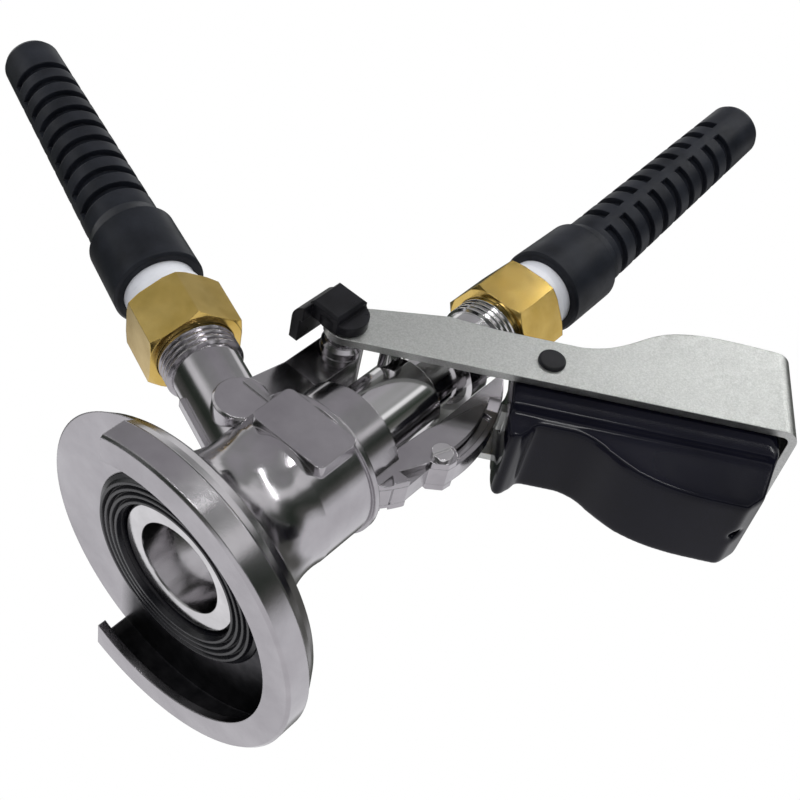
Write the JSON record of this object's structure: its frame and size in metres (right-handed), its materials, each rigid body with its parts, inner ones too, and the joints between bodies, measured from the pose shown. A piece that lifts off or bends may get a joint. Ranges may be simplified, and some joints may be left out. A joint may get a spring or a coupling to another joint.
{
  "type": "keg coupler",
  "caption": "Slide-on keg coupler: flanged steel body, sliding probe worked by a latched fork lever with a grip, and hose outlets with bend protectors.",
  "frame": {"origin": "on the coupler's axis, in the plane of the flange lip's underside", "axes": "+Z along the coupler's axis away from the keg, +X towards the lever's grip; the keg slides in from -X"},
  "size_m": [0.277, 0.092, 0.2753],
  "materials": {
    "cast_steel": "polished stainless casting",
    "polished_steel": "polished stainless",
    "strip_steel": "satin",
    "brass": "polished",
    "grip_plastic": "gloss black",
    "cap_plastic": "satin black",
    "hose_rubber": "matte black",
    "seal_rubber": "gloss black",
    "white_plastic": "white"
  },
  "bodies": {
    "body": {"body_casting": "cast_steel", "bottom_seal": "seal_rubber", "guide_bush": "white_plastic", "wiper_ring": "seal_rubber", "gas_check_valve": "seal_rubber", "gas_valve_ring": "white_plastic", "gas_seal_washer": "seal_rubber", "gas_hose_tail": "brass", "gas_ferrule": "white_plastic", "gas_bend_protector": "hose_rubber", "pivot_screws": "polished_steel", "pivot_washers": "polished_steel", "latch_quadrant": "cast_steel", "quadrant_screw": "polished_steel", "pivot_caps": "cap_plastic"},
    "probe_slider": {"probe": "polished_steel", "probe_foot_o_ring": "seal_rubber", "beer_ball_cage": "white_plastic", "beer_seal_washer": "seal_rubber", "beer_hose_tail": "brass", "beer_ferrule": "white_plastic", "beer_bend_protector": "hose_rubber"},
    "check_ball": {"beer_check_ball": "polished_steel"},
    "beer_nut": {"beer_union_nut": "brass"},
    "gas_nut": {"gas_union_nut": "brass"},
    "lever": {"lever_fork": "strip_steel", "grip_rivet": "cap_plastic", "drive_studs": "polished_steel", "grip_spring": "polished_steel"},
    "grip": {"lever_grip": "grip_plastic", "grip_catch": "strip_steel"}
  },
  "joints": [
    {"name": "lever_swing", "type": "hinge", "parent": "body", "child": "lever", "pos_m": [-0.0199, 0, 0.0894], "axis": [0, 1, 0], "range_deg": [0, 42]},
    {"name": "probe_slide", "type": "slide", "parent": "body", "child": "probe_slider", "axis": [0, 0, -1], "range_m": [0, 0.01]},
    {"name": "grip_squeeze", "type": "hinge", "parent": "lever", "child": "grip", "pos_m": [0.02708, 0, 0.12205], "axis": [0, -1, 0], "range_deg": [-8, 2], "stiffness_Nm_per_rad": 6},
    {"name": "beer_nut_spin", "type": "hinge", "parent": "probe_slider", "child": "beer_nut", "pos_m": [0, 0, 0.1432], "axis": [0, 0, 1], "continuous": true},
    {"name": "gas_nut_spin", "type": "hinge", "parent": "body", "child": "gas_nut", "pos_m": [0, 0, 0.044], "axis": [-0.9336, 0, 0.3584], "continuous": true},
    {"name": "ball_lift", "type": "slide", "parent": "probe_slider", "child": "check_ball", "axis": [0, 0, 1], "range_m": [0, 0.0024]}
  ],
  "couplings": [
    {"joint": "probe_slide", "follows": "lever_swing", "m_per_rad": 0.013642}
  ]
}
